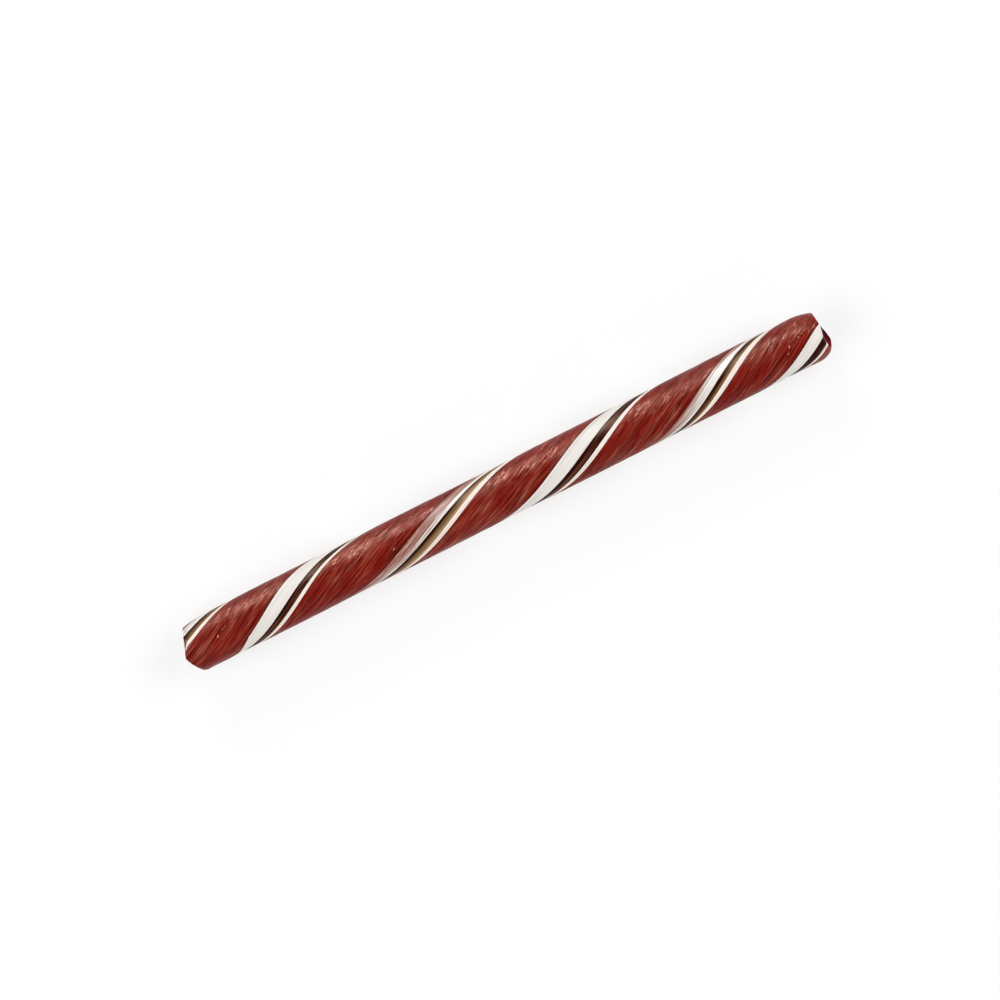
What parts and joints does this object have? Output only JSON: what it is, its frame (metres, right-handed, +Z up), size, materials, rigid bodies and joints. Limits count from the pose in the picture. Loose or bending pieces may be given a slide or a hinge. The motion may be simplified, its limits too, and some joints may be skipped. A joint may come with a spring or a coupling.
{
  "type": "hard candy stick",
  "caption": "Slim twisted stick of red hard candy with bands of white and brown stripes sunk in its skin, pinched off at one end and snapped at the other.",
  "frame": {"origin": "centre of the bounding box's bottom, on the flat along the underside that the stick rests on", "axes": "+X along the stick, from the pinched end to the snapped end; +Y across it; +Z up"},
  "size_m": [0.1319, 0.0096, 0.0095],
  "materials": {
    "red_sugar": "pulled boiled sugar, dark red, satin gloss with fine strands",
    "white_sugar": "opaque white boiled sugar, satin",
    "pearl_sugar": "white boiled sugar drawn thin over the red, half clear and pinkish",
    "dark_brown_sugar": "near-black brown boiled sugar, gloss",
    "olive_brown_sugar": "gold-brown boiled sugar, near black along its upper edge",
    "cream_sugar": "opaque creamy white boiled sugar, satin"
  },
  "bodies": {
    "root": {"candy_body": "red_sugar", "wide_white_a": "white_sugar", "brown_a": "dark_brown_sugar", "narrow_white_a": "cream_sugar", "wide_white_b": "pearl_sugar", "brown_b": "olive_brown_sugar", "narrow_white_b": "cream_sugar"}
  },
  "joints": []
}
